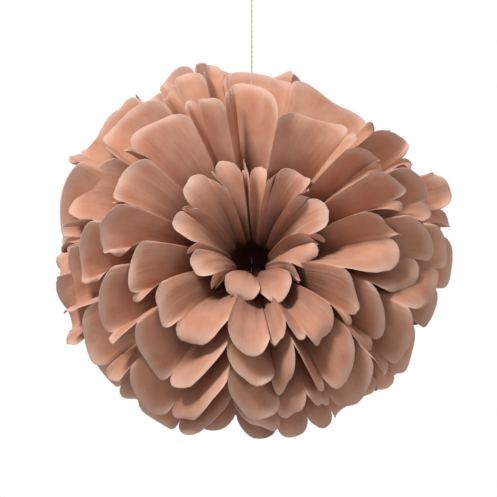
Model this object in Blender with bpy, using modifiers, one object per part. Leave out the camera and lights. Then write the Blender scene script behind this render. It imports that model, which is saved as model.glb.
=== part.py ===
# Tissue paper pom pom on its hanging thread, at its real size. Metres, +Z up.
#
# Ten sheets of tissue are laid on each other, folded together like an accordion, cut round at both
# ends and tied in the middle with wire. Each half then opens into a fan of half a turn, so that a
# sheet is one ring of petals round the tie. The front sheets are drawn forward and the others back.
#
# The origin is the inside top of the loop that the pom pom hangs from. Every petal is placed from
# the tie, by its distance from it, by its polar angle from the flower's axis, and by its azimuth
# round that axis, counted from +X towards the top.
import math
import random

import bmesh
import bpy
from mathutils import Vector

# The ball of petals
BALL_RADIUS = 0.125           # from the ball's middle to the petal tips of the middle sheets
BALL_HALF_DEPTH = 0.098       # the same along the flower's axis
BALL_AHEAD = 0.030            # how far the ball's middle lies in front of the tie
BALL_UP = 0.020               # how much further the upper petals reach than those at the sides
AXIS_TILT = math.radians(33)  # the flower looks towards -Y and this much upwards
TIE_DROP = 0.200              # height from the tie to the origin

# The folded sheets
SHEETS = 10
FOLD_WIDTH = 0.033            # width of one accordion fold, so of one petal laid flat
PANELS = 14                   # accordion folds on each side of the tie
PAPER = 0.00035               # thickness drawn for a sheet, soft folds included
PAPER_GAP = 0.0005            # free space between two sheets where they are tied
PETAL_ROUND = 0.33            # height of a petal's round end, as a share of its width
SLIT = 0.0016                 # half the gap between a sheet's two fans, beside the tie
SEAM = math.radians(0.7)      # how far each fan reaches over the seam further out
SEAM_STEP = math.radians(3.4)  # polar angle between the two fans where they lap
SEAM_TURN = 8                 # degrees from the slit to the seam further out
SHEET_TURN = 0.6              # degrees that each sheet is turned on the one before it
CENTRE_POLAR = math.radians(28)  # mean polar angles of the first three sheets and the last
RING_POLAR = math.radians(50)
THIRD_POLAR = math.radians(58)
BACK_POLAR = math.radians(141)
POLAR_SPREAD = 1.25           # over 1 sets the sheets closer at the front than at the back
LEAST_STEP = math.radians(6)  # least polar angle between two sheets at their folds
LIFT = math.radians(6)        # the upper petals stand this much nearer the axis
FLARE = 0.6                   # how much nearer the axis the front petals start than they end
FLARE_END = math.radians(112)  # sheets beyond this polar angle start straight
FAN_START = 0.030             # distance from the tie at which the fans stand fully open
ROWS = (0.014, 0.042)         # distances from the tie of the petals' inner rows of points
# How far the petals of each sheet reach, front to back, as a share of the ball's own outline
REACH = (0.58, 0.80, 0.88, 0.96, 1.0, 1.0, 1.0, 1.0, 1.0, 1.0)
# How deep the folds behind the first two sheets still are, in degrees of polar angle either way
PLEAT = (8.0, 8.0, 8.0, 6.8, 6.2, 6.0, 6.2, 6.4, 6.8, 7.2)
INNER_FOLD = 0.7              # how much deeper the folds are towards the tie
NOTCH_PLAY = 0.0035           # how much the notches differ in reach, either way
PETAL_LONGER = (-0.002, 0.003)  # how much the petals differ in length
CURL_START = 0.58             # share of a petal's length at which it starts to bend over
CURL_STEPS = 8                # steps in which the bend is followed out to a point

# The wire and the thread
NECK = 0.003                  # half the width of the outermost sheets where they are tied
WIRE = 0.0007                 # diameter of the tie wire
WIRE_TAIL = 0.010             # length of the wire's twisted ends
TWIST_TURNS = 2.5
THREAD = 0.001                # diameter of the hanging thread
CLEAR = 0.0004                # free space between pieces that touch
THREAD_BEHIND = 2             # the thread comes out behind this many sheets
THREAD_STEP = math.radians(5.4)  # polar angle kept between it and the folds next to it
THREAD_ROOM = math.radians(12)  # azimuth either side in which they keep quite clear of it
LOOP_WIDTH = 0.0062           # the hanging loop, widest and from its knot to its top
LOOP_HEIGHT = 0.014
LOOP_TAIL = 0.005             # free end of the thread below its knot

# The folds of the first two sheets, the centre and the ring round it, from the bottom round the
# right side to the top, and from the top round the left side to the bottom: azimuth, and polar
# angle, both in degrees. Odd folds stand forward.
CENTRE_RIGHT = (
    (-82, 35), (-51, 32), (-47, 40), (-43, 29), (-12, 34), (-8, 25), (-4, 34), (26, 34),
    (30, 26), (34, 34), (61, 26), (65, 19), (69, 22), (94, 22), (98, 30),
)
CENTRE_LEFT = (
    (98, 30), (102, 24), (126, 31), (130, 21), (134, 33), (160, 35), (164, 28), (168, 36),
    (196, 32), (200, 38), (204, 31), (233, 33), (237, 40), (241, 31), (278, 35),
)
RING_RIGHT = (
    (-82, 54), (-73, 47), (-65, 55), (-49, 43), (-42, 53), (-34, 40), (-3, 57), (3, 44),
    (13, 57), (20, 46), (31, 55), (37, 45), (46, 54), (74, 36), (98, 52),
)
RING_LEFT = (
    (98, 52), (105, 38), (113, 52), (122, 38), (144, 53), (150, 44), (169, 53), (175, 46),
    (188, 58), (195, 44), (210, 57), (217, 46), (233, 55), (258, 45), (278, 54),
)

# Points along the wire's twist and ring, and along the thread's run, loop and knot
TWIST_STEPS = 14
RING_STEPS = 20
RUN_STEPS = 8
LOOP_STEPS = 18
KNOT_STEPS = 16
LOOP_FULLNESS = 1.25          # widens the drop shape to the loop's stated width

TISSUE = (0.60, 0.35, 0.25, 1)
STEEL = (0.42, 0.40, 0.38, 1)
COTTON = (0.58, 0.52, 0.47, 1)

AXIS = Vector((0, -math.cos(AXIS_TILT), math.sin(AXIS_TILT)))
RIGHT = Vector((1, 0, 0))
UPWARD = Vector((0, math.sin(AXIS_TILT), math.cos(AXIS_TILT)))
STACK_PITCH = PAPER + PAPER_GAP
BUNDLE = math.hypot(NECK, STACK_PITCH * (SHEETS - 1) / 2)  # radius of the round bundle at the tie
WIRE_RING = BUNDLE + PAPER / 2 + CLEAR + WIRE / 2          # radius of the wire's turn round it
TWIST_RADIUS = (WIRE + CLEAR) / 2                          # of the wire's two ends round each other
# The thread hangs from the origin down to the wire where it passes over the bundle.
TIE = Vector((0, -WIRE_RING * math.sin(AXIS_TILT), -TIE_DROP))


def smooth(x):
    """0 before 0, 1 after 1, and a soft step between."""
    x = min(max(x, 0), 1)
    return x * x * (3 - 2 * x)


def mix(a, b, share):
    return a + (b - a) * share


def ball_reach(polar):
    """Distance from the tie to the ball's outline, in a direction at this polar angle."""
    along, across = math.cos(polar), math.sin(polar)
    a = (along / BALL_HALF_DEPTH) ** 2 + (across / BALL_RADIUS) ** 2
    b = along * BALL_AHEAD / BALL_HALF_DEPTH**2
    c = (BALL_AHEAD / BALL_HALF_DEPTH) ** 2 - 1
    return (b + math.sqrt(b * b - a * c)) / a


def sheet_polar(sheet):
    """Mean polar angle of a sheet: the first two by themselves, the others closer at the front."""
    if sheet < 2:
        return (CENTRE_POLAR, RING_POLAR)[sheet]
    return mix(THIRD_POLAR, BACK_POLAR, ((sheet - 2) / (SHEETS - 3)) ** POLAR_SPREAD)


def sheet_reach(sheet):
    """Distance from the tie to a sheet's petal tips."""
    return REACH[sheet % len(REACH)] * ball_reach(sheet_polar(sheet))


def fan_azimuth(side, share, gap):
    """Azimuth at a share of the way round an even fan that stops this angle short of the slit."""
    return math.pi * side + (2 * share - 1) * (math.pi / 2 - gap)


def clear_of_thread(sheet, azimuth, polar):
    """A polar angle kept clear of the thread that comes out upwards between two sheets."""
    thread = math.pi / 2 - AXIS_TILT + LIFT
    away = 2 * max(abs(azimuth - math.pi / 2) - THREAD_ROOM, 0)
    if sheet < THREAD_BEHIND:
        return min(polar, thread - THREAD_STEP * (1 + 2 * (THREAD_BEHIND - 1 - sheet)) + away)
    return max(polar, thread + THREAD_STEP * (sheet - THREAD_BEHIND + 1.2) - away)


def front_fold(sheet, side, j):
    """Azimuth and polar angle of a fold in the front lists, read by its share of the fan, so that
    they serve any fold count. The sheets behind them follow the ring's azimuths."""
    centre, ring = (CENTRE_RIGHT, CENTRE_LEFT), (RING_RIGHT, RING_LEFT)
    folds = (centre if sheet == 0 else ring)[side]
    place = j * (len(folds) - 1) / PANELS
    low = min(int(place), len(folds) - 2)
    return (mix(folds[low][k], folds[low + 1][k], place - low) for k in (0, 1))


def lay_folds():
    """Each sheet's two fans as lists of folds, (azimuth, polar, reach of the notch), in radians."""
    chance = random.Random(7)
    sheets = []
    for sheet in range(SHEETS):
        fans = []
        for side in (0, 1):
            folds = []
            for j in range(PANELS + 1):
                at_seam = j in (0, PANELS)
                even = math.degrees(fan_azimuth(side, j / PANELS, -SEAM))
                even += SEAM_TURN + SHEET_TURN * (sheet - 1)
                azimuth, polar = front_fold(sheet, side, j)
                if sheet > 1:
                    azimuth = mix(even, azimuth, 0.8 ** (sheet - 1))
                    way = -1 if j % 2 else 1
                    play = 0 if at_seam else chance.uniform(-1.8, 1.8)
                    pleat = PLEAT[sheet % len(PLEAT)]
                    polar = math.degrees(sheet_polar(sheet)) + way * pleat + play
                azimuth = even if at_seam else azimuth + chance.uniform(-0.6, 0.6)
                azimuth = math.radians(azimuth)
                polar = clear_of_thread(sheet, azimuth, math.radians(polar))
                notch = sheet_reach(sheet) - FOLD_WIDTH * PETAL_ROUND
                notch += BALL_UP * math.sin(azimuth) * math.sin(polar)
                notch += chance.uniform(-NOTCH_PLAY, NOTCH_PLAY)
                folds.append((azimuth, polar, notch))
            if sheet:
                folds = behind(sheets[-1][side], folds)
            fans.append(folds)
        for j, k in ((0, PANELS), (PANELS, 0)):
            right, left = fans[0][j], fans[1][k]
            further = max(right[1], left[1])
            fans[0][j] = (right[0], further, right[2])
            fans[1][k] = (left[0], further, left[2])
        sheets.append(fans)
    return sheets


def with_middles(folds):
    """The folds of a fan, each with the polar angle that it zigzags about as well."""
    polars = [fold[1] for fold in folds]
    wide = [polars[1]] + polars + [polars[-2]]
    return [
        (*fold[:3], (wide[j] + 2 * wide[j + 1] + wide[j + 2]) / 4) for j, fold in enumerate(folds)
    ]


def polar_at(folds, azimuth, depth):
    """Polar angle of a fan at an azimuth, with its folds this many times as deep."""
    folds = with_middles(folds)
    for a, b in zip(folds, folds[1:]):
        if azimuth <= b[0] or b is folds[-1]:
            share = (azimuth - a[0]) / (b[0] - a[0])
            return mix(a[3] + depth * (a[1] - a[3]), b[3] + depth * (b[1] - b[3]), share)


def behind(front, folds):
    """The folds of a fan, moved back where it would come too near the fan in front of it."""
    for _ in range(6):
        for azimuth in sorted(fold[0] for fold in front + folds):
            for depth in (1, 1 + INNER_FOLD):
                near = polar_at(front, azimuth, depth) + LEAST_STEP
                short = near - polar_at(folds, azimuth, depth)
                if short > 0:
                    j = max(k for k, fold in enumerate(folds[:-1]) if fold[0] <= azimuth or k == 0)
                    for k in (j, j + 1):
                        folds[k] = (folds[k][0], folds[k][1] + short * 0.7, folds[k][2])
    return folds


def lap_seam(folds, side):
    """The folds with both fans' ends set apart, so that one fan laps over the other at the seam."""
    lap = SEAM_STEP / 2 * (-1 if side else 1)
    return [
        (a, p + lap, n, m + lap) if j in (0, PANELS) else (a, p, n, m)
        for j, (a, p, n, m) in enumerate(with_middles(folds))
    ]


def lay_petals():
    """Each panel's own shape: (extra length, curl of its face, hollow of its face)."""
    chance = random.Random(11)
    return [
        [
            [
                (
                    chance.uniform(*PETAL_LONGER),
                    math.radians(chance.uniform(-1.5, 5)),
                    math.radians(chance.uniform(-1.2, 1.2)),
                )
                for _ in range(PANELS)
            ]
            for _ in (0, 1)
        ]
        for _ in range(SHEETS)
    ]


def lay_bends():
    """How far each petal's end bends over, towards the back where it is above 0. A petal bends
    nearly as far as the one in front of it or further, so that the two don't meet, and one of the
    short centre petals only as far as the room behind it allows."""
    chance = random.Random(5)
    bends = []
    for sheet in range(SHEETS):
        lean = 34 * math.cos(sheet_polar(sheet)) + 4
        fans = []
        for side in (0, 1):
            fan = []
            for panel in range(PANELS):
                bend = lean + chance.uniform(-14, 22)
                if sheet == 0:
                    # With 19 degrees of room to the ring behind it a petal may bend right over.
                    room = min(
                        polar_at(FOLDS[1][side], fold[0], 1) - fold[1]
                        for fold in FOLDS[0][side][panel : panel + 2]
                    )
                    share = (math.degrees(room) - 8) / 11
                    bend = min(bend, math.degrees(math.asin(min(max(share, 0), 1))))
                elif sheet > 1:
                    front = bends[-1][side][panel]
                    bend = max(bend, 1.15 * front + 3 if sheet < 5 else front - 14)
                fan.append(bend)
            fans.append(fan)
        bends.append(fans)
    return bends


FOLDS = [[lap_seam(fan, side) for side, fan in enumerate(fans)] for fans in lay_folds()]
PETALS = lay_petals()
BENDS = lay_bends()


def petal_bend(sheet, side, panel, across):
    """Bend of the free end across a panel, in radians: its own in the middle, and at its folds a
    third of the mean of the two petals that share the fold."""
    fan = BENDS[sheet][side]
    before, own, after = fan[max(panel - 1, 0)], fan[panel], fan[min(panel + 1, PANELS - 1)]
    hump = 4 * across * (1 - across)
    at_folds = 0.35 * mix((before + own) / 2, (own + after) / 2, across)
    return math.radians(mix(at_folds, own, hump))


def petal_end(sheet, side, panel, across):
    """Length of paper from the tie to a panel's cut end, which is round between its two folds."""
    notch_a, notch_b = (FOLDS[sheet][side][panel + k][2] for k in (0, 1))
    longer = PETALS[sheet][side][panel][0]
    dome = math.sqrt(max(1 - (2 * across - 1) ** 2, 0))
    return mix(notch_a, notch_b, across) + (FOLD_WIDTH * PETAL_ROUND + longer) * dome


def bent_over(sheet, side, panel, across, length):
    """Where the bent end of a petal takes a point at this length of paper from the tie: its
    distance from the tie, and the polar angle that it moves aside."""
    start = CURL_START * petal_end(sheet, side, panel, across)
    if length <= start:
        return length, 0
    bend = petal_bend(sheet, side, panel, across)
    span = (1 - CURL_START) * petal_end(sheet, side, panel, across)
    out, aside, step = start, 0, (length - start) / CURL_STEPS
    for k in range(CURL_STEPS):
        turn = bend * min((k + 0.5) * step / span, 1.2) ** 1.7
        out += math.cos(turn) * step
        aside += math.sin(turn) * step / out
    return out, aside


def sheet_point(sheet, side, panel, across, length):
    """A point of a sheet: on one of its fans, in one panel, at a share across it and at a length
    of paper from the tie."""
    fold_a, fold_b = FOLDS[sheet][side][panel : panel + 2]
    _, curl, hollow = PETALS[sheet][side][panel]
    height = STACK_PITCH * ((SHEETS - 1) / 2 - sheet)
    opened = smooth((length - BUNDLE) / (FAN_START - BUNDLE))
    # Beside the tie the folds are evenly spread and leave a slit of even width at the seams.
    near = fan_azimuth(side, (panel + across) / PANELS, math.asin(min(SLIT / length, 1)))
    azimuth = mix(near, mix(fold_a[0], fold_b[0], across), smooth(length / FAN_START - 0.6))
    share = min(length / sheet_reach(sheet), 1)
    middle = mix(fold_a[3], fold_b[3], across)
    pleat = mix(fold_a[1] - fold_a[3], fold_b[1] - fold_b[3], across)
    polar = middle + hollow * 4 * across * (1 - across) + pleat * (1 + INNER_FOLD * (1 - share))
    polar *= 1 - FLARE * max(0, 1 - sheet_polar(sheet) / FLARE_END) * (1 - share) ** 2
    polar = clear_of_thread(sheet, mix(fold_a[0], fold_b[0], across), polar)
    polar = mix(math.acos(min(max(height / length, -1), 1)), polar, opened)
    polar += curl * max(2 * share - 1, 0) ** 2 * (0.4 + 2.4 * across * (1 - across))
    polar -= LIFT * math.sin(azimuth) * opened
    out, aside = bent_over(sheet, side, panel, across, length)
    polar += aside
    direction = AXIS * math.cos(polar) + (
        RIGHT * math.cos(azimuth) + UPWARD * math.sin(azimuth)
    ) * math.sin(polar)
    return TIE + direction * out


def plain_material(name, colour, roughness, metallic):
    material = bpy.data.materials.new(name)
    material.use_nodes = True
    shader = material.node_tree.nodes["Principled BSDF"]
    shader.inputs["Base Color"].default_value = colour
    shader.inputs["Roughness"].default_value = roughness
    shader.inputs["Metallic"].default_value = metallic
    return material


def make_sheet(sheet, collection, material):
    """One sheet: two fans of pleated petals that meet in the flat neck under the wire."""
    bm = bmesh.new()
    neck = []
    for side in (0, 1):

        def row(reach_of, shares):
            made = []
            for panel in range(PANELS):
                for across in shares:
                    reach = reach_of(panel, across)
                    made.append(bm.verts.new(sheet_point(sheet, side, panel, across, reach)))
            reach = reach_of(PANELS - 1, 1)
            made.append(bm.verts.new(sheet_point(sheet, side, PANELS - 1, 1, reach)))
            return made

        def notch(panel, across):
            return mix(FOLDS[sheet][side][panel][2], FOLDS[sheet][side][panel + 1][2], across)

        inner = row(lambda panel, across: BUNDLE, (0,))
        first = row(lambda panel, across: ROWS[0], (0,))
        second = row(lambda panel, across: ROWS[1], (0, 0.5))
        third = row(notch, (0, 0.5))
        for panel in range(PANELS):
            bm.faces.new((inner[panel], first[panel], first[panel + 1], inner[panel + 1]))
            a, b, c = second[2 * panel : 2 * panel + 3]
            d, e, f = third[2 * panel : 2 * panel + 3]
            bm.faces.new((first[panel], a, b))
            bm.faces.new((first[panel], b, first[panel + 1]))
            bm.faces.new((first[panel + 1], b, c))
            bm.faces.new((a, d, e, b))
            bm.faces.new((b, e, f, c))
            tips = [
                bm.verts.new(
                    sheet_point(sheet, side, panel, t, petal_end(sheet, side, panel, t))
                )
                for t in (0.17, 0.5, 0.83)
            ]
            bm.faces.new((d, tips[0], tips[1], e))
            bm.faces.new((e, tips[1], tips[2], f))
        neck += inner
    bm.faces.new(neck)
    mesh = bpy.data.meshes.new(f"tissue_sheet_{sheet + 1:02d}")
    bm.to_mesh(mesh)
    bm.free()
    mesh.materials.append(material)
    mesh.shade_smooth()
    mesh.set_sharp_from_angle(angle=math.radians(40))
    piece = bpy.data.objects.new(mesh.name, mesh)
    collection.objects.link(piece)
    thickness = piece.modifiers.new("paper", "SOLIDIFY")
    thickness.thickness = PAPER
    thickness.offset = 0


def make_tube(name, points, diameter, collection, material, rounds, closed=False):
    """A wire or thread: a curve along the points with a round section and closed ends."""
    curve = bpy.data.curves.new(name, "CURVE")
    curve.dimensions = "3D"
    curve.bevel_depth = diameter / 2
    curve.bevel_resolution = rounds
    curve.use_fill_caps = not closed
    spline = curve.splines.new("POLY")
    spline.use_cyclic_u = closed
    spline.points.add(len(points) - 1)
    for point, place in zip(spline.points, points):
        point.co = (*place, 1)
    curve.materials.append(material)
    piece = bpy.data.objects.new(name, curve)
    collection.objects.link(piece)
    return piece


def wire_points():
    """The tie wire: up one strand of the twist, once round the bundle, and down the other strand."""
    def strand(k, way):
        down = WIRE_TAIL * k / TWIST_STEPS
        turn = 2 * math.pi * TWIST_TURNS * k / TWIST_STEPS
        side = (AXIS * math.cos(turn) + RIGHT * math.sin(turn)) * (way * TWIST_RADIUS)
        return TIE - UPWARD * (WIRE_RING + WIRE / 2 + down) + side

    opening = math.asin(TWIST_RADIUS / WIRE_RING)
    ring = []
    for k in range(RING_STEPS + 1):
        turn = mix(opening, 2 * math.pi - opening, k / RING_STEPS)
        ring.append(TIE + (AXIS * math.sin(turn) - UPWARD * math.cos(turn)) * WIRE_RING)
    front = [strand(k, 1) for k in reversed(range(TWIST_STEPS + 1))]
    back = [strand(k, -1) for k in range(TWIST_STEPS + 1)]
    return front + ring + back


def thread_points():
    """The hanging thread: from the wire straight up, round the loop and down beside itself."""
    beside = (THREAD + CLEAR) / 2
    # The wire passes under the thread's end on a slope, so the end stands clear of its upper side.
    foot = TIE + UPWARD * WIRE_RING
    foot.z += WIRE / 2 / math.cos(AXIS_TILT) + THREAD / 2 * math.tan(AXIS_TILT) + CLEAR
    top = THREAD / 2
    knot = top - LOOP_HEIGHT
    points = [Vector((0, 0, mix(foot.z, knot, k / RUN_STEPS))) for k in range(RUN_STEPS)]
    for k in range(LOOP_STEPS + 1):
        turn = 2 * math.pi * k / LOOP_STEPS
        wide = -LOOP_WIDTH / 2 * math.sin(turn) * math.sin(turn / 2) ** 1.5 * LOOP_FULLNESS
        aside = beside * turn / math.pi
        points.append(Vector((wide + aside, 0, top - LOOP_HEIGHT / 2 * (1 + math.cos(turn)))))
    points.append(Vector((2 * beside, 0, knot - LOOP_TAIL)))
    return points


def knot_points():
    """The knot: a turn of thread drawn round both strands under the loop."""
    beside = (THREAD + CLEAR) / 2
    level = THREAD / 2 - LOOP_HEIGHT - THREAD
    points = []
    for k in range(KNOT_STEPS):
        turn = 2 * math.pi * k / KNOT_STEPS
        side = beside if math.cos(turn) > 0 else -beside
        across = beside + side + (THREAD + CLEAR) * math.cos(turn)
        points.append(Vector((across, (THREAD + CLEAR) * math.sin(turn), level)))
    return points


def build():
    for leftover in list(bpy.data.objects):
        bpy.data.objects.remove(leftover, do_unlink=True)
    collection = bpy.data.collections.new("tissue_pom_pom")
    bpy.context.scene.collection.children.link(collection)
    paper = plain_material("tissue_paper", TISSUE, 0.9, 0)
    for sheet in range(SHEETS):
        make_sheet(sheet, collection, paper)
    steel = plain_material("annealed_steel_wire", STEEL, 0.45, 1)
    make_tube("tie_wire", wire_points(), WIRE, collection, steel, 1)
    cotton = plain_material("cotton_thread", COTTON, 0.85, 0)
    make_tube("hanging_thread", thread_points(), THREAD, collection, cotton, 2)
    make_tube("thread_knot", knot_points(), THREAD, collection, cotton, 1, closed=True)


build()
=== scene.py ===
# %% [markdown]
# A tissue paper pom pom is a stack of thin sheets, folded together like an accordion, cut round at
# both ends and tied in the middle with wire. The halves open into fans, and each sheet becomes one
# ring of petals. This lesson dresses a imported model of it: the paper, the wire and the thread get
# their fine form and finish, and the model under them stays where it is.

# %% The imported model
import math
import random

import bpy
import numpy as np
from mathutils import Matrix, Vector


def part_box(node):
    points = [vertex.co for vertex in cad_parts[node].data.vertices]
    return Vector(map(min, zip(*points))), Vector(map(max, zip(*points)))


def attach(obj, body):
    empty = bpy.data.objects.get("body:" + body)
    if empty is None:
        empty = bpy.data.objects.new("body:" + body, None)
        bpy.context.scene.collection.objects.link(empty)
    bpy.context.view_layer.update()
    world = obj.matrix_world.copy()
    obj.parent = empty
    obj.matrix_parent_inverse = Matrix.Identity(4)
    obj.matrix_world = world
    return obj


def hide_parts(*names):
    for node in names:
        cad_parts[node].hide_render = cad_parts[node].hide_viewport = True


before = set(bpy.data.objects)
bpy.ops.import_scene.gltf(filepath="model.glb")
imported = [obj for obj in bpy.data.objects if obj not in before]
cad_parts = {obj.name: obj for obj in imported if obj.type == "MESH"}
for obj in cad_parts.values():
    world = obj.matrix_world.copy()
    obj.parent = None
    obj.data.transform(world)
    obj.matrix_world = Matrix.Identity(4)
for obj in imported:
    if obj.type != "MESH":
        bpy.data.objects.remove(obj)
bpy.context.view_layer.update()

print("nodes in the model:", sorted(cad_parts))

# %% [markdown]
# The camera comes first, because it decides what detail can be seen. The flower looks at the viewer
# and about a third of a right angle upwards, and the camera looks straight ahead at the ball.
# A long lens keeps the round outline true.

# %% The camera
MM = 0.001
PICTURE_PX = 497
POM_WIDTH_PX = 398        # how wide the ball is in the picture
BALL_WIDTH = 250 * MM
CAMERA_DISTANCE = 1.5
SENSOR_WIDTH = 36
AIM_LEFT, AIM_BELOW = 2 * MM, 7 * MM  # from the middle of a sheet that has the ball's whole width
ball_low, ball_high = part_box("tissue_sheet_04")
AIM = Vector((-AIM_LEFT, 0, (ball_low[2] + ball_high[2]) / 2 - AIM_BELOW))
camera_data = bpy.data.cameras.new("camera")
camera_data.sensor_width = SENSOR_WIDTH
camera_data.lens = SENSOR_WIDTH * CAMERA_DISTANCE / (BALL_WIDTH * PICTURE_PX / POM_WIDTH_PX)
camera_data.clip_start = 0.05
camera = bpy.data.objects.new("camera", camera_data)
camera.location = AIM + Vector((0, -CAMERA_DISTANCE, 0))
camera.rotation_euler = (math.radians(90), 0, 0)
bpy.context.scene.collection.objects.link(camera)
bpy.context.scene.camera = camera
print("lens, mm:", round(camera_data.lens, 1))

# %% [markdown]
# Every petal is placed from the tie by three numbers: its distance from it, its polar angle from the
# flower's axis, and its azimuth round that axis. Sheets that keep their order in polar angle can't
# cross, however deep their folds are. The same sizes and rules as in the model give the same main
# form. This script draws it with many more points, and adds the fine form of the petals' ends.

# %% The flower's own frame and sizes
SHEETS = 10
PANELS = 14                   # accordion folds on each side of the tie
BALL_RADIUS = 125 * MM
BALL_HALF_DEPTH = 98 * MM     # the same along the flower's axis
BALL_AHEAD = 30 * MM          # how far the ball's middle lies in front of the tie
BALL_UP = 20 * MM             # how much further the upper petals reach than those at the sides
AXIS_TILT = math.radians(33)
TIE_DROP = 200 * MM           # height from the tie to the inside top of the loop
FOLD_WIDTH = 33 * MM
PETAL_ROUND = 0.33            # height of a petal's round end, as a share of its width
MODEL_PAPER = 0.35 * MM       # the paper's thickness in the model under this one
PAPER_PITCH = 0.85 * MM       # from one sheet to the next where they are tied
NECK = 3 * MM                 # half the width of the outermost sheets there
BUNDLE = math.hypot(NECK, PAPER_PITCH * (SHEETS - 1) / 2)
SLIT = 1.6 * MM               # half the gap between a sheet's two fans, beside the tie
SEAM = math.radians(0.7)      # how far each fan reaches over the seam further out
SEAM_STEP = math.radians(3.4)  # polar angle between the two fans where they lap
FAN_START = 30 * MM           # distance from the tie at which the fans stand fully open
CENTRE_POLAR, RING_POLAR, THIRD_POLAR, BACK_POLAR = (math.radians(a) for a in (28, 50, 58, 141))
POLAR_SPREAD = 1.25           # over 1 sets the sheets closer at the front than at the back
LEAST_STEP = math.radians(6)  # least polar angle between two sheets at their folds
LIFT = math.radians(6)        # the upper petals stand this much nearer the axis
FLARE = 0.6                   # how much nearer the axis the front petals start than they end
FLARE_END = math.radians(112)  # sheets beyond this polar angle start straight
# How far the petals of each sheet reach, front to back, as a share of the ball's own outline
REACH = (0.58, 0.80, 0.88, 0.96, 1.0, 1.0, 1.0, 1.0, 1.0, 1.0)
SEAM_TURN, SHEET_TURN = 8, 0.6  # degrees from the slit to the seam, and from sheet to sheet
# How deep the folds behind the first two sheets are, in degrees of polar angle either way
PLEAT = (8.0, 8.0, 8.0, 6.8, 6.2, 6.0, 6.2, 6.4, 6.8, 7.2)
INNER_FOLD = 0.7              # how much deeper the folds are towards the tie
RING_KEPT = 0.8               # how much of the ring's uneven azimuths each sheet behind it keeps
AZIMUTH_PLAY, POLAR_PLAY = 0.6, 1.8  # degrees by which single folds lie off
NOTCH_PLAY = 3.5 * MM         # how much the notches differ in reach, either way
PETAL_LONGER = (-2 * MM, 3 * MM)  # how much the petals differ in length
CURL_START = 0.58             # share of a petal's length at which it starts to bend over
THREAD_BEHIND = 2             # the thread comes out behind this many sheets
THREAD_STEP = math.radians(5.4)  # polar angle kept between it and the folds next to it
THREAD_ROOM = math.radians(12)  # azimuth either side in which they keep quite clear of it
WIRE = 0.7 * MM
CLEAR = 0.4 * MM              # free space between pieces that touch
WIRE_RING = BUNDLE + MODEL_PAPER / 2 + CLEAR + WIRE / 2
AXIS = np.array((0, -math.cos(AXIS_TILT), math.sin(AXIS_TILT)))
RIGHT = np.array((1.0, 0, 0))
UPWARD = np.array((0, math.sin(AXIS_TILT), math.cos(AXIS_TILT)))
TIE = np.array((0, -WIRE_RING * math.sin(AXIS_TILT), -TIE_DROP))
print("the tie is at", TIE.round(4).tolist())

# %% The folds of the two front sheets, azimuth and polar angle in degrees, odd folds forward
CENTRE_RIGHT = (
    (-82, 35), (-51, 32), (-47, 40), (-43, 29), (-12, 34), (-8, 25), (-4, 34), (26, 34),
    (30, 26), (34, 34), (61, 26), (65, 19), (69, 22), (94, 22), (98, 30),
)
CENTRE_LEFT = (
    (98, 30), (102, 24), (126, 31), (130, 21), (134, 33), (160, 35), (164, 28), (168, 36),
    (196, 32), (200, 38), (204, 31), (233, 33), (237, 40), (241, 31), (278, 35),
)
RING_RIGHT = (
    (-82, 54), (-73, 47), (-65, 55), (-49, 43), (-42, 53), (-34, 40), (-3, 57), (3, 44),
    (13, 57), (20, 46), (31, 55), (37, 45), (46, 54), (74, 36), (98, 52),
)
RING_LEFT = (
    (98, 52), (105, 38), (113, 52), (122, 38), (144, 53), (150, 44), (169, 53), (175, 46),
    (188, 58), (195, 44), (210, 57), (217, 46), (233, 55), (258, 45), (278, 54),
)
FRONT_SHEETS = ((CENTRE_RIGHT, CENTRE_LEFT), (RING_RIGHT, RING_LEFT))


# %% Where the folds of every sheet lie
def mix(a, b, share):
    return a + (b - a) * share


def ball_reach(polar):
    """Distance from the tie to the ball's outline at this polar angle."""
    along, across = math.cos(polar), math.sin(polar)
    a = (along / BALL_HALF_DEPTH) ** 2 + (across / BALL_RADIUS) ** 2
    b = along * BALL_AHEAD / BALL_HALF_DEPTH**2
    c = (BALL_AHEAD / BALL_HALF_DEPTH) ** 2 - 1
    return (b + math.sqrt(b * b - a * c)) / a


def sheet_polar(sheet):
    if sheet < 2:
        return (CENTRE_POLAR, RING_POLAR)[sheet]
    share = (sheet - 2) / (SHEETS - 3)
    return mix(THIRD_POLAR, BACK_POLAR, share**POLAR_SPREAD)


def sheet_reach(sheet):
    return REACH[sheet] * ball_reach(sheet_polar(sheet))


def clear_of_thread(sheet, azimuth, polar):
    """A polar angle kept clear of the thread that comes out upwards between two sheets."""
    thread = math.pi / 2 - AXIS_TILT + LIFT
    away = 2 * np.maximum(abs(azimuth - math.pi / 2) - THREAD_ROOM, 0)
    if sheet < THREAD_BEHIND:
        limit = thread - THREAD_STEP * (1 + 2 * (THREAD_BEHIND - 1 - sheet))
        return np.minimum(polar, limit + away)
    return np.maximum(polar, thread + THREAD_STEP * (sheet - THREAD_BEHIND + 1.2) - away)


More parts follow.
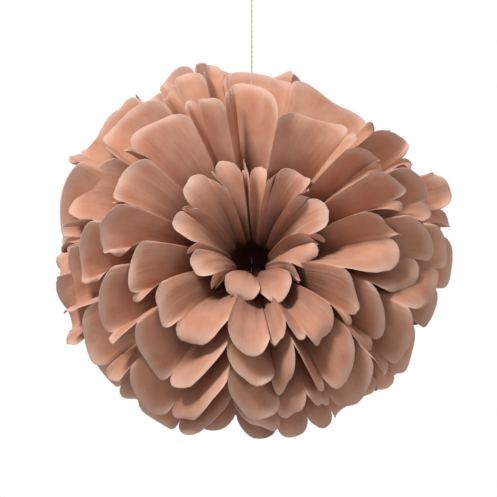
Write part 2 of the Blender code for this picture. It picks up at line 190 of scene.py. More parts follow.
def lay_folds():
    """Each sheet's two fans as lists of folds, (azimuth, polar, reach of the notch), in radians."""
    chance = random.Random(7)
    sheets = []
    for sheet in range(SHEETS):
        fans = []
        for side in (0, 1):
            folds = []
            for j in range(PANELS + 1):
                at_seam = j in (0, PANELS)
                turn = math.pi * side + (2 * j / PANELS - 1) * (math.pi / 2 + SEAM)
                even = math.degrees(turn) + SEAM_TURN + SHEET_TURN * (sheet - 1)
                azimuth, polar = FRONT_SHEETS[min(sheet, 1)][side][j]
                if sheet > 1:
                    azimuth = mix(even, azimuth, RING_KEPT ** (sheet - 1))
                    way = -1 if j % 2 else 1
                    play = 0 if at_seam else chance.uniform(-POLAR_PLAY, POLAR_PLAY)
                    polar = math.degrees(sheet_polar(sheet)) + way * PLEAT[sheet] + play
                play = 0 if at_seam else chance.uniform(-AZIMUTH_PLAY, AZIMUTH_PLAY)
                azimuth = even if at_seam else azimuth + play
                azimuth = math.radians(azimuth)
                polar = float(clear_of_thread(sheet, azimuth, math.radians(polar)))
                notch = sheet_reach(sheet) - FOLD_WIDTH * PETAL_ROUND
                notch += BALL_UP * math.sin(azimuth) * math.sin(polar)
                folds.append((azimuth, polar, notch + chance.uniform(-NOTCH_PLAY, NOTCH_PLAY)))
            fans.append(behind(sheets[-1][side], folds) if sheet else folds)
        for j, k in ((0, PANELS), (PANELS, 0)):
            right, left = fans[0][j], fans[1][k]
            further = max(right[1], left[1])
            fans[0][j] = (right[0], further, right[2])
            fans[1][k] = (left[0], further, left[2])
        sheets.append(fans)
    return sheets


def with_middles(folds):
    """The folds of a fan, each with the polar angle that it zigzags about as well."""
    polars = [fold[1] for fold in folds]
    wide = [polars[1]] + polars + [polars[-2]]
    return [
        (*fold[:3], (wide[j] + 2 * wide[j + 1] + wide[j + 2]) / 4) for j, fold in enumerate(folds)
    ]


def polar_at(folds, azimuth, depth):
    """Polar angle of a fan at an azimuth, with its folds this many times as deep."""
    folds = with_middles(folds)
    for a, b in zip(folds, folds[1:]):
        if azimuth <= b[0] or b is folds[-1]:
            share = (azimuth - a[0]) / (b[0] - a[0])
            return mix(a[3] + depth * (a[1] - a[3]), b[3] + depth * (b[1] - b[3]), share)


def behind(front, folds):
    """The folds of a fan, moved back where it would come too near the fan in front of it."""
    for _ in range(6):
        for azimuth in sorted(fold[0] for fold in front + folds):
            for depth in (1, 1 + INNER_FOLD):
                near = polar_at(front, azimuth, depth) + LEAST_STEP
                short = near - polar_at(folds, azimuth, depth)
                if short > 0:
                    j = max(k for k, fold in enumerate(folds[:-1]) if fold[0] <= azimuth or k == 0)
                    for k in (j, j + 1):
                        folds[k] = (folds[k][0], folds[k][1] + short * 0.7, folds[k][2])
    return folds


def lap_seam(folds, side):
    """The folds with both fans' ends set apart, so that one fan laps over the other at the seam."""
    lap = SEAM_STEP / 2 * (-1 if side else 1)
    return [
        (a, p + lap, n, m + lap) if j in (0, PANELS) else (a, p, n, m)
        for j, (a, p, n, m) in enumerate(with_middles(folds))
    ]


FOLDS = [[lap_seam(fan, side) for side, fan in enumerate(fans)] for fans in lay_folds()]
chance = random.Random(11)
PETALS = [
    [
        [
            (
                chance.uniform(*PETAL_LONGER),
                math.radians(chance.uniform(-1.5, 5)),
                math.radians(chance.uniform(-1.2, 1.2)),
            )
            for _ in range(PANELS)
        ]
        for _ in range(2)
    ]
    for _ in range(SHEETS)
]
print("folds in all:", sum(len(fan) for sheet in FOLDS for fan in sheet))

# %% [markdown]
# Tissue is so thin that it has no stiffness of its own: a petal stands up only because it is folded.
# So the folds are sharp near the tie and soft further out, and the free round end bends over. The
# bend is drawn along the petal: past a point on its length, each step turns a little more aside. The
# last few millimetres curl into a lip, the panel cups between its folds, and the cut edge is wavy.

# %% The fine form of a fan
ACROSS = 14       # steps across one panel
ALONG = 30        # steps from the tie to the tip
SOFT_FOLD = 0.55  # 0 is a sharp fold, 1 a round one
SLIM_BELOW = 0.75  # share of the fold's width under which a panel counts as crushed narrow
SLIM_LEAST = 0.3  # what a very narrow one keeps of its round end and its curls
RIM = 16 * MM     # the stretch along the cut edge that is wavy, and lightened with painted highlight
CREASE_DEPTH = 0.4 * MM
LIP_LENGTH = 14 * MM
LIPS_CENTRE = (35, 55, 75, 95, 65, 25)  # degrees by which a lip may curl, above 0 to the back
LIPS_FRONT = (0, 25, 60, 90, -40, 10)
LIPS_BACK = (0, 0, -40, -80, 50)
CUP = (-3 * MM, 3.5 * MM)
WAVES = ((0.5 * MM, 1.8 * MM), (1.0 * MM, 2.8 * MM))  # the three front sheets, those behind


def smooth(x):
    x = np.clip(x, 0, 1)
    return x * x * (3 - 2 * x)


def lay_bends():
    """How far each petal's end bends over, in degrees, towards the back where it is above 0. A petal
    bends nearly as far as the one in front of it or further, so that the two don't meet, and one of
    the short centre petals only as far as the room behind it allows."""
    chance = random.Random(5)
    bends = []
    for sheet in range(SHEETS):
        lean = 34 * math.cos(sheet_polar(sheet)) + 4
        fans = []
        for side in (0, 1):
            fan = []
            for panel in range(PANELS):
                bend = lean + chance.uniform(-14, 22)
                if sheet == 0:
                    room = min(
                        polar_at(FOLDS[1][side], fold[0], 1) - fold[1]
                        for fold in FOLDS[0][side][panel : panel + 2]
                    )
                    share = (math.degrees(room) - 8) / 11
                    bend = min(bend, math.degrees(math.asin(min(max(share, 0), 1))))
                elif sheet > 1:
                    front = bends[-1][side][panel]
                    bend = max(bend, 1.15 * front + 3 if sheet < 5 else front - 14)
                fan.append(bend)
            fans.append(fan)
        bends.append(fans)
    return bends


BENDS = lay_bends()


def petal_traits(sheet, side):
    """What each panel does by itself: its bend and twist, its cup, its waves and its lip."""
    chance = random.Random(100 * sheet + 10 * side + 5)
    lips = LIPS_CENTRE if sheet < 2 else LIPS_FRONT if sheet < 5 else LIPS_BACK
    return [
        {
            "bend": math.radians(BENDS[sheet][side][panel]),
            "twist": math.radians(chance.uniform(-22, 22)),
            "cup": chance.uniform(*CUP),
            "wave": chance.uniform(*WAVES[sheet > 2]),
            "lip": math.radians(chance.choice(lips)),
            "lip_side": chance.uniform(-1, 1),
            "phase": chance.uniform(0, 2 * math.pi),
        }
        for panel in range(PANELS)
    ]


def bent_over(s, turn):
    """Distances from the tie and polar angles aside of paper that turns away on its way out."""
    step = np.diff(s, axis=1)
    between = (turn[:, 1:] + turn[:, :-1]) / 2
    out = np.concatenate((s[:, :1], s[:, :1] + np.cumsum(np.cos(between) * step, axis=1)), axis=1)
    return out, np.cumsum(np.sin(between) * step / out[:, 1:], axis=1)


def from_tie(out, polar, azimuth):
    """Places at these distances, polar angles and azimuths."""
    direction = (
        np.cos(polar)[..., None] * AXIS
        + np.sin(polar)[..., None]
        * (np.cos(azimuth)[..., None] * RIGHT + np.sin(azimuth)[..., None] * UPWARD)
    )
    return TIE + direction * out[..., None]


def fan_points(sheet, side):
    """Points of one fan as an array, columns round the fan by rows from the tie to the cut ends, with
    each point's distance across the paper and along it, its nearness to the cut edge, and its share
    of the way out."""
    folds, petals = FOLDS[sheet][side], PETALS[sheet][side]
    traits = petal_traits(sheet, side)
    spread = (1 - np.cos(np.pi * np.arange(ACROSS + 1) / ACROSS)) / 2
    panel = np.repeat(np.arange(PANELS), ACROSS)
    t = np.tile(spread[:-1], PANELS)
    panel, t = np.append(panel, PANELS - 1), np.append(t, 1.0)
    azimuths, polars, notches, middles = (np.array(x) for x in zip(*folds))

    def of_petal(values, at_fold):
        """A value that each petal has in its middle, blended to the folds beside it."""
        values = np.array(values)
        padded = np.concatenate(([values[0]], values, [values[-1]]))
        fold = at_fold * (padded[:-1] + padded[1:]) / 2
        hump = 4 * t * (1 - t)
        return (fold[panel] * (1 - t) + fold[panel + 1] * t) * (1 - hump) + values[panel] * hump

    # A panel that is crushed narrow between two wide ones has a flatter end, and curls less.
    widths = np.hypot(np.diff(azimuths) * np.sin((polars[1:] + polars[:-1]) / 2), np.diff(polars))
    widths *= (notches[1:] + notches[:-1]) / 2
    slim = np.clip(widths / (SLIM_BELOW * FOLD_WIDTH), SLIM_LEAST, 1)[panel]
    dome = np.sqrt(np.clip(1 - (2 * t - 1) ** 2, 0, 1))
    longer = np.array([p[0] for p in petals])[panel]
    end = notches[panel] * (1 - t) + notches[panel + 1] * t
    end = end + (FOLD_WIDTH * PETAL_ROUND + longer) * dome * slim
    curl_model = of_petal([p[1] for p in petals], 0.4)
    hollow = np.array([p[2] for p in petals])[panel] * 4 * t * (1 - t)

    v = 1 - (1 - np.linspace(0, 1, ALONG + 1)) ** 1.4
    s = BUNDLE + (end[:, None] - BUNDLE) * v[None, :]
    height = PAPER_PITCH * ((SHEETS - 1) / 2 - sheet)
    opened = smooth((s - BUNDLE) / (FAN_START - BUNDLE))
    share = np.minimum(s / sheet_reach(sheet), 1)
    place = (panel + t) / PANELS
    slit = SLIT * (1 - smooth((s - WIRE_RING - 1 * MM) / (5 * MM)))
    near = math.pi * side + (2 * place[:, None] - 1) * (
        math.pi / 2 - np.arcsin(np.minimum(slit / s, 1))
    )
    far = azimuths[panel] * (1 - t) + azimuths[panel + 1] * t
    azimuth = near + (far[:, None] - near) * smooth(s / FAN_START - 0.6)

    # The folds grow softer towards the tips, and deeper towards the tie.
    soft = SOFT_FOLD * smooth(s / sheet_reach(sheet) * 1.6 - 0.3)
    t2 = t[:, None] * (1 - soft) + smooth(t)[:, None] * soft
    middle = middles[panel][:, None] * (1 - t2) + middles[panel + 1][:, None] * t2
    fold = polars - middles
    fold = fold[panel][:, None] * (1 - t2) + fold[panel + 1][:, None] * t2
    polar = middle + hollow[:, None] + fold * (1 + INNER_FOLD * (1 - share))
    flare = FLARE * max(0, 1 - sheet_polar(sheet) / FLARE_END)
    polar = polar * (1 - flare * (1 - share) ** 2)
    polar = clear_of_thread(sheet, far[:, None], polar)
    polar = np.arccos(np.clip(height / s, -1, 1)) * (1 - opened) + polar * opened
    polar = polar + curl_model[:, None] * np.maximum(2 * share - 1, 0) ** 2
    polar = polar - LIFT * np.sin(azimuth) * opened

    # The free end bends over: the way along the paper turns from straight out towards the side.
    bend = of_petal([x["bend"] for x in traits], 0.35)
    bend = bend + np.array([x["twist"] for x in traits])[panel] * (2 * t - 1) * dome * slim
    past = np.clip((s / end[:, None] - CURL_START) / (1 - CURL_START), 0, 1)
    turn = bend[:, None] * past**1.7
    lip = of_petal([x["lip"] for x in traits], 0.2)
    lip = lip * (1 + np.array([x["lip_side"] for x in traits])[panel] * (2 * t - 1)) * dome * slim
    turn = turn + lip[:, None] * np.clip(1 - (end[:, None] - s) / LIP_LENGTH, 0, 1) ** 1.3
    out, aside = bent_over(s, turn)
    polar[:, 1:] += aside

    # Fine waves of the free edge, and long soft creases and a cup down the petal
    rim = np.clip(1 - (end[:, None] - s) / RIM, 0, 1)
    wave = np.array([x["wave"] for x in traits])[panel] * dome * slim
    phase = np.array([x["phase"] for x in traits])[panel]
    polar += (wave * np.sin(11 * t + phase))[:, None] * rim**1.5 / out
    crease = CREASE_DEPTH * dome * (np.sin(17 * t + 3 * phase) + np.sin(31 * t + 5 * phase) * 0.6)
    cup = np.array([x["cup"] for x in traits])[panel] * 4 * t * (1 - t) * slim
    polar += (crease + cup)[:, None] * smooth(3 * share - 0.6) / out

    across_paper = ((panel + t) * FOLD_WIDTH)[:, None] + 0 * s
    return from_tie(out, polar, azimuth), across_paper, s, rim, share


# %% [markdown]
# Both fans of a sheet are one piece of paper that runs under the wire, so they are one mesh: two
# grids of faces and the flat neck between them. A UV map in metres goes with it, across and along the
# paper, so that the creases in the material can follow the petals. Two more values say how close a
# point is to the cut edge and how far out it is from the tie. Solidify gives the paper two sides.

# %% From points to a sheet of paper
PAPER_THICKNESS = 0.12 * MM


def make_sheet(sheet, material):
    points, faces, uv, rims, shares = [], [], [], [], []
    neck = []
    for side in (0, 1):
        places, across, along, rim, share = fan_points(sheet, side)
        columns, rows = places.shape[:2]
        first = len(points)
        points += places.reshape(-1, 3).tolist()
        uv += np.stack((across, along), axis=-1).reshape(-1, 2).tolist()
        rims += rim.reshape(-1).tolist()
        shares += share.reshape(-1).tolist()
        for c in range(columns - 1):
            for r in range(rows - 1):
                a = first + c * rows + r
                faces.append((a, a + 1, a + rows + 1, a + rows))
        neck += [first + c * rows for c in range(columns)]
    faces.append(tuple(neck))
    mesh = bpy.data.meshes.new(f"paper_sheet_{sheet + 1:02d}")
    mesh.from_pydata(points, [], faces)
    layer = mesh.uv_layers.new(name="paper")
    for loop in mesh.loops:
        layer.data[loop.index].uv = uv[loop.vertex_index]
    for name, values in (("cut_edge", rims), ("way_out", shares)):
        mesh.attributes.new(name, "FLOAT", "POINT").data.foreach_set("value", values)
    mesh.materials.append(material)
    mesh.shade_smooth()
    piece = bpy.data.objects.new(mesh.name, mesh)
    bpy.context.scene.collection.objects.link(piece)
    thickness = piece.modifiers.new("paper", "SOLIDIFY")
    thickness.thickness = PAPER_THICKNESS
    thickness.offset = 0
    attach(piece, "root")
    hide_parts(f"tissue_sheet_{sheet + 1:02d}")
    return piece


# %% [markdown]
# Tissue paper is a loose web of short wood fibres, dyed in the pulp. It is matt, has no gloss to speak
# of, and lets some of the light through, so a petal glows a little where the light is behind it. The
# colour is cloudy over about a centimetre, where the fibres lie thicker or thinner. Painted shade
# darkens it towards the tie, and a painted highlight lightens the last centimetre of each petal's cut
# edge.

# %% Helpers for materials
def linear(code):
    """A colour written as sRGB hex, in the linear values that Blender works in."""
    parts = [int(code[k : k + 2], 16) / 255 for k in (1, 3, 5)]
    return [c / 12.92 if c <= 0.04045 else ((c + 0.055) / 1.055) ** 2.4 for c in parts] + [1.0]


def add(tree, kind, settings=None, links=None):
    """A node with its settings and what is plugged into its inputs."""
    made = tree.nodes.new(kind)
    for name, value in (settings or {}).items():
        if name in made.inputs:
            made.inputs[name].default_value = value
        else:
            setattr(made, name, value)
    for name, source in (links or {}).items():
        tree.links.new(source, made.inputs[name])
    return made


def new_material(name):
    material = bpy.data.materials.new(name)
    material.use_nodes = True
    material.node_tree.nodes.clear()
    return material, material.node_tree


# %% Tissue paper, dyed in the pulp
TISSUE_THICK = "#C88F75"
TISSUE_THIN = "#D3A087"
# painted highlight: the pale colour that the petals' tips are lightened towards
TISSUE_PAINTED_HIGHLIGHT = "#F0D6C8"
# painted shade: the dark colour that the paper is darkened to towards the tie
TISSUE_PAINTED_SHADE = "#5C352A"
TISSUE_THROUGH = "#D59C80"
CLOUD_SIZE = 14 * MM
GRAIN_SIZE = 0.6 * MM
CREASE_SPACING = 4 * MM


def tissue_material():
    material, tree = new_material("dyed_tissue_paper")
    place = add(tree, "ShaderNodeTexCoord")
    paper = add(tree, "ShaderNodeUVMap", {"uv_map": "paper"})
    cloud = add(
        tree,
        "ShaderNodeTexNoise",
        {"Scale": 1 / CLOUD_SIZE, "Detail": 3.0},
        {"Vector": place.outputs["Object"]},
    )
    stretched = add(
        tree,
        "ShaderNodeMapping",
        {"Scale": (1 / CREASE_SPACING, 1 / (9 * CREASE_SPACING), 1)},
        {"Vector": paper.outputs["UV"]},
    )
    crease = add(
        tree,
        "ShaderNodeTexNoise",
        {"Scale": 1.0, "Detail": 4.0, "Roughness": 0.6},
        {"Vector": stretched.outputs["Vector"]},
    )
    grain = add(
        tree,
        "ShaderNodeTexNoise",
        {"Scale": 1 / GRAIN_SIZE, "Detail": 2.0},
        {"Vector": place.outputs["Object"]},
    )
    blotch = add(
        tree,
        "ShaderNodeMapRange",
        {"From Min": 0.35, "From Max": 0.65},
        {"Value": cloud.outputs["Fac"]},
    )
    body = add(
        tree,
        "ShaderNodeMix",
        {"data_type": "RGBA", "blend_type": "MIX"},
        {"Factor": blotch.outputs["Result"]},
    )
    body.inputs["A"].default_value = linear(TISSUE_THICK)
    body.inputs["B"].default_value = linear(TISSUE_THIN)
    # Painted highlight: the last centimetre of each petal is lightened towards the pale colour, where
    # the thin tips catch the light.
    rim = add(tree, "ShaderNodeAttribute", {"attribute_name": "cut_edge"})
    painted_highlight_fade = add(
        tree,
        "ShaderNodeMapRange",
        {"interpolation_type": "SMOOTHSTEP", "From Min": 0.4, "From Max": 1.0, "To Max": 0.42},
        {"Value": rim.outputs["Fac"]},
    )
    colour = add(
        tree,
        "ShaderNodeMix",
        {"data_type": "RGBA", "blend_type": "MIX"},
        {"Factor": painted_highlight_fade.outputs["Result"], "A": body.outputs["Result"]},
    )
    colour.inputs["B"].default_value = linear(TISSUE_PAINTED_HIGHLIGHT)
    # Painted shade: the colour is darkened towards the tie, where little light reaches the pit of the
    # flower.
    way_out = add(tree, "ShaderNodeAttribute", {"attribute_name": "way_out"})
    painted_shade_fade = add(
        tree,
        "ShaderNodeMapRange",
        {"interpolation_type": "SMOOTHSTEP", "From Min": 0.16, "From Max": 0.85},
        {"Value": way_out.outputs["Fac"]},
    )
    shaded_towards_tie = add(
        tree,
        "ShaderNodeMix",
        {"data_type": "RGBA", "blend_type": "MIX"},
        {"Factor": painted_shade_fade.outputs["Result"], "B": colour.outputs["Result"]},
    )
    shaded_towards_tie.inputs["A"].default_value = linear(TISSUE_PAINTED_SHADE)
    long_creases = add(
        tree,
        "ShaderNodeBump",
        {"Strength": 0.6, "Distance": 0.9 * MM},
        {"Height": crease.outputs["Fac"]},
    )
    fibres = add(
        tree,
        "ShaderNodeBump",
        {"Strength": 0.35, "Distance": 0.08 * MM},
        {"Height": grain.outputs["Fac"], "Normal": long_creases.outputs["Normal"]},
    )
    face = add(
        tree,
        "ShaderNodeBsdfPrincipled",
        {"Roughness": 0.92, "Specular IOR Level": 0.12},
        {"Base Color": shaded_towards_tie.outputs["Result"], "Normal": fibres.outputs["Normal"]},
    )
    through = add(
        tree,
        "ShaderNodeBsdfTranslucent",
        {"Color": linear(TISSUE_THROUGH)},
        {"Normal": fibres.outputs["Normal"]},
    )
    both = add(tree, "ShaderNodeMixShader", {"Fac": 0.2})
    tree.links.new(face.outputs["BSDF"], both.inputs[1])
    tree.links.new(through.outputs["BSDF"], both.inputs[2])
    output = add(tree, "ShaderNodeOutputMaterial")
    tree.links.new(both.outputs["Shader"], output.inputs["Surface"])
    return material


tissue = tissue_material()
sheets = [make_sheet(sheet, tissue) for sheet in range(SHEETS)]
print("sheets:", len(sheets), "faces in one:", len(sheets[0].data.polygons))

# %% [markdown]
# The folded stack is tied with a thin steel wire, bent once round the middle and twisted shut behind.
# The wire is soft annealed steel, dark grey and dull. It follows the model's own route with
# more turns to its twist, and a curve with a round bevel is the plain way to draw a wire.

# %% The tie wire
WIRE_TAIL = 10 * MM
TWIST_TURNS = 2.5
STEEL = "#4C4946"


def wire_route(steps=60):
    apart = (WIRE + CLEAR) / 2

    def strand(k, way):
        turn = 2 * math.pi * TWIST_TURNS * k / steps
        side = (AXIS * math.cos(turn) + RIGHT * math.sin(turn)) * (way * apart)
        return TIE - UPWARD * (WIRE_RING + WIRE / 2 + WIRE_TAIL * k / steps) + side

    opening = math.asin(apart / WIRE_RING)
    turns = np.linspace(opening, 2 * math.pi - opening, 61)
    ring = [TIE + (AXIS * math.sin(a) - UPWARD * math.cos(a)) * WIRE_RING for a in turns]
    return (
        [strand(k, 1) for k in reversed(range(steps + 1))]
        + ring
        + [strand(k, -1) for k in range(steps + 1)]
    )


def make_wire(name, route, diameter, material):
    curve = bpy.data.curves.new(name, "CURVE")
    curve.dimensions = "3D"
    curve.bevel_depth = diameter / 2
    curve.bevel_resolution = 4
    curve.use_fill_caps = True
    line = curve.splines.new("POLY")
    line.points.add(len(route) - 1)
    for point, place in zip(line.points, route):
        point.co = (*place, 1)
    line.use_smooth = True
    curve.materials.append(material)
    piece = bpy.data.objects.new(name, curve)
    bpy.context.scene.collection.objects.link(piece)
    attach(piece, "root")
    return piece


def wire_material():
    material, tree = new_material("annealed_steel")
    place = add(tree, "ShaderNodeTexCoord")
    scale = add(
        tree, "ShaderNodeTexNoise", {"Scale": 1 / (1.2 * MM)}, {"Vector": place.outputs["Object"]}
    )
    rough = add(
        tree,
        "ShaderNodeMapRange",
        {"To Min": 0.5, "To Max": 0.7},
        {"Value": scale.outputs["Fac"]},
    )
    metal = add(
        tree,
        "ShaderNodeBsdfPrincipled",
        {"Base Color": linear(STEEL), "Metallic": 1.0},
        {"Roughness": rough.outputs["Result"]},
    )
    add(tree, "ShaderNodeOutputMaterial", {}, {"Surface": metal.outputs["BSDF"]})
    return material


wire = make_wire("tie_wire_twisted", wire_route(), WIRE, wire_material())
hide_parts("tie_wire")
print("wire points:", len(wire.data.splines[0].points))

# %% [markdown]
# The pom pom hangs on a cotton thread of two plies twisted together. It goes straight up from the tie
# wire, because the whole weight hangs on it, and ends in a small knotted loop, where a hook or a nail
# holds it. Its two plies show as a fine slanting twist, so the thread is a tube whose section is like
# a figure of eight and turns as it goes up.

# %% The way of the thread
THREAD = 1.0 * MM
LOOP_WIDTH, LOOP_HEIGHT, LOOP_TAIL = 6.2 * MM, 14 * MM, 5 * MM
LOOP_FULLNESS = 1.25           # widens the drop shape to the loop's stated width
BESIDE = (THREAD + CLEAR) / 2  # from the loop's middle to each of its strands at the knot
PLY_TWIST = 3.2 * MM           # length of one turn of the plies


def thread_route():
    foot = TIE + UPWARD * WIRE_RING
    low = foot[2] + WIRE / 2 / math.cos(AXIS_TILT) + THREAD / 2 * math.tan(AXIS_TILT) + CLEAR
    top = THREAD / 2
    knot = top - LOOP_HEIGHT
    route = [(0, 0, low + (knot - low) * k / 60) for k in range(60)]
    for k in range(37):
        turn = 2 * math.pi * k / 36
        wide = -LOOP_WIDTH / 2 * LOOP_FULLNESS * math.sin(turn) * math.sin(turn / 2) ** 1.5
        route.append(
            (wide + BESIDE * turn / math.pi, 0, top - LOOP_HEIGHT / 2 * (1 + math.cos(turn)))
        )
    route.append((2 * BESIDE, 0, knot - LOOP_TAIL))
    return route


route = thread_route()


# %% A tube whose section turns
def resample(points, step):
    points = np.array(points, dtype=float)
    gone = np.concatenate(([0], np.cumsum(np.linalg.norm(np.diff(points, axis=0), axis=1))))
    count = int(gone[-1] / step)
    at = np.linspace(0, gone[-1], count + 1)
    return np.stack([np.interp(at, gone, points[:, k]) for k in range(3)], axis=1), at


def plied_tube(name, points, diameter, twist, material, sides=12):
    points, gone = resample(points, twist / 9)
    ahead = np.gradient(points, axis=0)
    ahead /= np.linalg.norm(ahead, axis=1)[:, None]
    normal = np.array((0, 1.0, 0)) if abs(ahead[0][1]) < 0.9 else RIGHT
    vertices, faces = [], []
    for place, way, far in zip(points, ahead, gone):
        normal = normal - way * normal.dot(way)
        normal /= np.linalg.norm(normal)
        beside = np.cross(way, normal)
        for k in range(sides):
            angle = 2 * math.pi * k / sides
            lobe = 0.62 + 0.38 * abs(math.cos(angle - math.pi * far / twist)) ** 1.3
            out = normal * math.cos(angle) + beside * math.sin(angle)
            vertices.append(place + out * (diameter / 2 * lobe))
    rings = len(points)
    for r in range(rings - 1):
        a, b = r * sides, (r + 1) * sides
        for k in range(sides):
            m = (k + 1) % sides
            faces.append((a + k, a + m, b + m, b + k))
    faces.append(tuple(reversed(range(sides))))
    faces.append(tuple(range((rings - 1) * sides, rings * sides)))
    mesh = bpy.data.meshes.new(name)
    mesh.from_pydata([tuple(v) for v in vertices], [], faces)
    mesh.shade_smooth()
    mesh.materials.append(material)
    piece = bpy.data.objects.new(name, mesh)
    bpy.context.scene.collection.objects.link(piece)
    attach(piece, "root")
    return piece


# %% [markdown]
# Cotton thread is matt and slightly hairy, and each ply is itself a bundle of fibres. Undyed cotton
# is a warm off-white, and it looks darker in the groove between the plies. The fine fibres are drawn
# as a noise pattern with a bump, at a quarter of a millimetre.

# %% Cotton thread
COTTON_DARK, COTTON_LIGHT = "#B5A79B", "#DCD1C6"
FIBRE_SIZE = 0.25 * MM


def cotton_material():
    material, tree = new_material("undyed_cotton_thread")
    place = add(tree, "ShaderNodeTexCoord")
    fibres = add(
        tree,
        "ShaderNodeTexNoise",
        {"Scale": 1 / FIBRE_SIZE, "Detail": 3.0},
        {"Vector": place.outputs["Object"]},
    )
    colour = add(
        tree,
        "ShaderNodeMix",
        {"data_type": "RGBA", "blend_type": "MIX"},
        {"Factor": fibres.outputs["Fac"]},
    )
    colour.inputs["A"].default_value = linear(COTTON_DARK)
    colour.inputs["B"].default_value = linear(COTTON_LIGHT)
    hair = add(
        tree,
        "ShaderNodeBump",
        {"Strength": 0.5, "Distance": 0.1 * MM},
        {"Height": fibres.outputs["Fac"]},
    )
    face = add(
        tree,
        "ShaderNodeBsdfPrincipled",
        {"Roughness": 0.85, "Specular IOR Level": 0.2},
        {"Base Color": colour.outputs["Result"], "Normal": hair.outputs["Normal"]},
    )
    add(tree, "ShaderNodeOutputMaterial", {}, {"Surface": face.outputs["BSDF"]})
    return material


cotton = cotton_material()
thread = plied_tube("plied_thread", route, THREAD, PLY_TWIST, cotton)
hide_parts("hanging_thread")
print("thread faces:", len(thread.data.polygons))

# %% [markdown]
# The knot draws both strands together under the loop. Its turns lie tight on each other, so two
# turns of the same plied thread round the two strands are all that shows of it.

# %% The knot
KNOT_RISE = 0.8 * THREAD  # from the lower turn's start to the upper one's end
KNOT_THREAD = 0.9 * THREAD


def knot_route():
    level = THREAD / 2 - LOOP_HEIGHT - THREAD
    points = []
    for k in range(73):
        turn = 2 * math.pi * k / 36
        side = BESIDE if math.cos(turn) > 0 else -BESIDE
        across = BESIDE + side + (THREAD + CLEAR) * math.cos(turn)
        points.append(
            (across, (THREAD + CLEAR) * math.sin(turn), level + KNOT_RISE * (k / 72 - 0.5))
        )
    return points


knot = plied_tube("plied_knot", knot_route(), KNOT_THREAD, PLY_TWIST, cotton)
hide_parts("thread_knot")

# %% [markdown]
# The light is that of a plain white studio: a soft lamp above and to the left, a weaker one to the
# right, one behind so that the back isn't dark, and a room that throws light back from everywhere.
# Large lamps give soft shadows between the petals.

# %% Lamps
def add_lamp(name, place, size, power):
    lamp = bpy.data.lights.new(name, "AREA")
    lamp.size = size
    lamp.energy = power
    piece = bpy.data.objects.new(name, lamp)
    piece.location = AIM + Vector(place)
    piece.rotation_euler = (-Vector(place)).to_track_quat("-Z", "Y").to_euler()
    bpy.context.scene.collection.objects.link(piece)


add_lamp("key_lamp", (-0.9, -1.2, 1.7), 0.6, 60)
add_lamp("fill_lamp", (1.6, -1.2, 0.2), 1.2, 6)
add_lamp("back_lamp", (0.5, 1.8, 0.9), 1.2, 22)

# %% [markdown]
# The room behind is white to the eye, and gives the petals only as much light as a real room would.
# The Light Path node tells the two apart. Paper scatters light through itself, and those rays are
# diffuse, so they are left with the room's real light too.

# %% The room
ROOM_LIGHT = 0.36


def seen_directly(tree):
    """1 for a ray that shows the background to the eye, straight or in metal or glass."""
    path = add(tree, "ShaderNodeLightPath")
    clear = add(tree, "ShaderNodeMath", {"operation": "SUBTRACT", "use_clamp": True})
    tree.links.new(path.outputs["Is Transmission Ray"], clear.inputs[0])
    tree.links.new(path.outputs["Is Diffuse Ray"], clear.inputs[1])
    mirrored = add(tree, "ShaderNodeMath", {"operation": "MAXIMUM"})
    tree.links.new(path.outputs["Is Glossy Ray"], mirrored.inputs[0])
    tree.links.new(clear.outputs["Value"], mirrored.inputs[1])
    seen = add(tree, "ShaderNodeMath", {"operation": "MAXIMUM"})
    tree.links.new(path.outputs["Is Camera Ray"], seen.inputs[0])
    tree.links.new(mirrored.outputs["Value"], seen.inputs[1])
    return seen.outputs["Value"]


world = bpy.data.worlds.new("white_room")
bpy.context.scene.world = world
world.use_nodes = True
world.node_tree.nodes.clear()
room = add(world.node_tree, "ShaderNodeBackground", {"Strength": ROOM_LIGHT})
white = add(world.node_tree, "ShaderNodeBackground", {"Strength": 1.0})
for shader in (room, white):
    shader.inputs["Color"].default_value = (1, 1, 1, 1)
either = add(world.node_tree, "ShaderNodeMixShader", {}, {"Fac": seen_directly(world.node_tree)})
world.node_tree.links.new(room.outputs["Background"], either.inputs[1])
world.node_tree.links.new(white.outputs["Background"], either.inputs[2])
add(world.node_tree, "ShaderNodeOutputWorld", {}, {"Surface": either.outputs["Shader"]})
bpy.context.scene.view_settings.view_transform = "Standard"
print("view transform:", bpy.context.scene.view_settings.view_transform)

# %% [markdown]
# The floor lies far below the hanging pom pom, so that a view from slightly below is still free. It
# is a matt white board, lighter to the eye than it is to the light, and it fades into the white room.

# %% The floor
FLOOR = -1500 * MM
FLOOR_REACH = 8


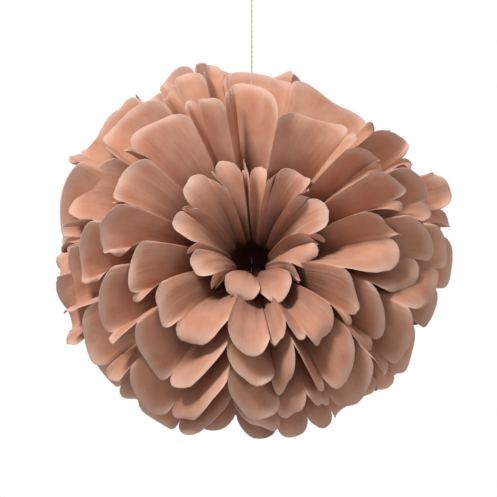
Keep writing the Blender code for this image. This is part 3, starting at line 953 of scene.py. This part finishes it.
def floor_material():
    material, tree = new_material("matt_white_board")
    place = add(tree, "ShaderNodeTexCoord")
    grain = add(
        tree, "ShaderNodeTexNoise", {"Scale": 1 / (20 * MM)}, {"Vector": place.outputs["Object"]}
    )
    shade = add(
        tree,
        "ShaderNodeMapRange",
        {"To Min": 0.80, "To Max": 0.84},
        {"Value": grain.outputs["Fac"]},
    )
    board = add(tree, "ShaderNodeBsdfDiffuse", {}, {"Color": shade.outputs["Result"]})
    glow = add(tree, "ShaderNodeEmission", {"Color": (1, 1, 1, 1), "Strength": 0.6})
    total = add(tree, "ShaderNodeAddShader")
    tree.links.new(board.outputs["BSDF"], total.inputs[0])
    tree.links.new(glow.outputs["Emission"], total.inputs[1])
    distance = add(
        tree, "ShaderNodeVectorMath", {"operation": "LENGTH"}, {"Vector": place.outputs["Object"]}
    )
    far = add(
        tree,
        "ShaderNodeMapRange",
        {"interpolation_type": "SMOOTHSTEP", "From Min": 1.0, "From Max": 3.0},
        {"Value": distance.outputs["Value"]},
    )
    white = add(tree, "ShaderNodeEmission", {"Color": (1, 1, 1, 1), "Strength": 1.0})
    seen_floor = add(tree, "ShaderNodeMixShader", {}, {"Fac": far.outputs["Result"]})
    tree.links.new(total.outputs["Shader"], seen_floor.inputs[1])
    tree.links.new(white.outputs["Emission"], seen_floor.inputs[2])
    either = add(tree, "ShaderNodeMixShader", {}, {"Fac": seen_directly(tree)})
    tree.links.new(board.outputs["BSDF"], either.inputs[1])
    tree.links.new(seen_floor.outputs["Shader"], either.inputs[2])
    add(tree, "ShaderNodeOutputMaterial", {}, {"Surface": either.outputs["Shader"]})
    return material


floor_mesh = bpy.data.meshes.new("studio_floor")
corners = ((-1, -1), (1, -1), (1, 1), (-1, 1))
floor_mesh.from_pydata(
    [(x * FLOOR_REACH, y * FLOOR_REACH, FLOOR) for x, y in corners], [], [(0, 1, 2, 3)]
)
floor_mesh.materials.append(floor_material())
floor = bpy.data.objects.new("studio_floor", floor_mesh)
bpy.context.scene.collection.objects.link(floor)
print("floor at, m:", FLOOR)
